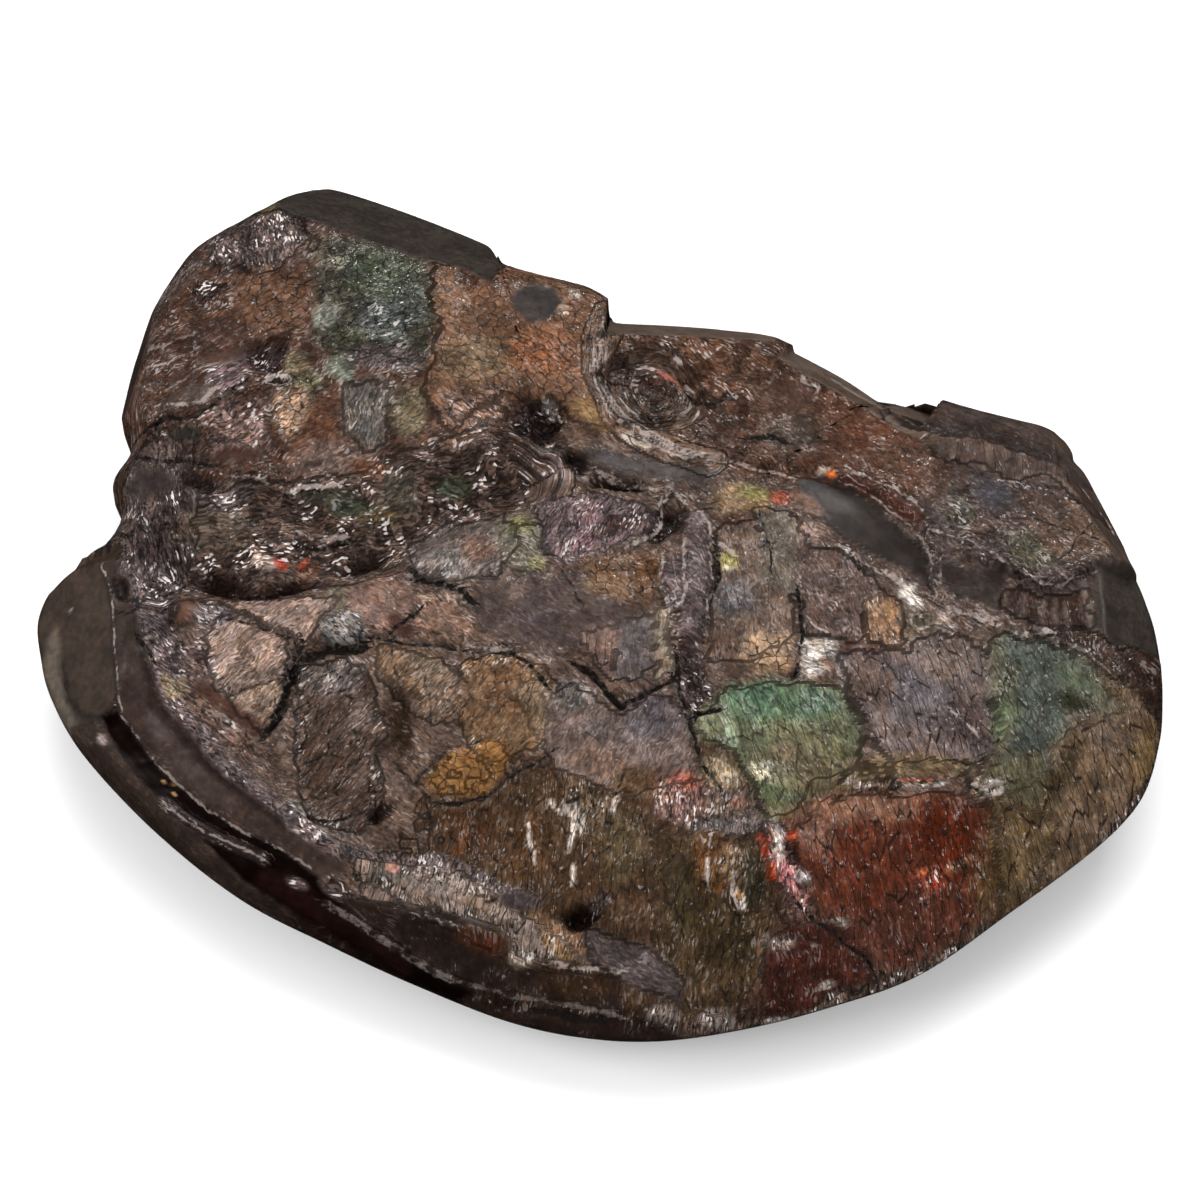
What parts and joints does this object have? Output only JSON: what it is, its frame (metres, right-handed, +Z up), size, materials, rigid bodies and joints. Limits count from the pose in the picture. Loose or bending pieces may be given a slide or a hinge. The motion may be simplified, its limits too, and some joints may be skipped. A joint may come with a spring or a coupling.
{
  "type": "ammolite specimen",
  "caption": "Palm-sized polished fossil specimen: a lens-shaped lump of brown ironstone with crushed, layered iridescent ammonite shell on its upper face.",
  "frame": {"origin": "under the middle of the specimen's box, on the plane it rests on", "axes": "+X along the specimen's long side, +Y to its back, +Z up out of the shell-bearing face"},
  "size_m": [0.128, 0.1039, 0.0271],
  "materials": {
    "shelly_ironstone": "brown ironstone and crushed shell, lacquered: polished flats, rough glinting hollows"
  },
  "bodies": {
    "root": {"ammolite_slab": "shelly_ironstone"}
  },
  "joints": []
}
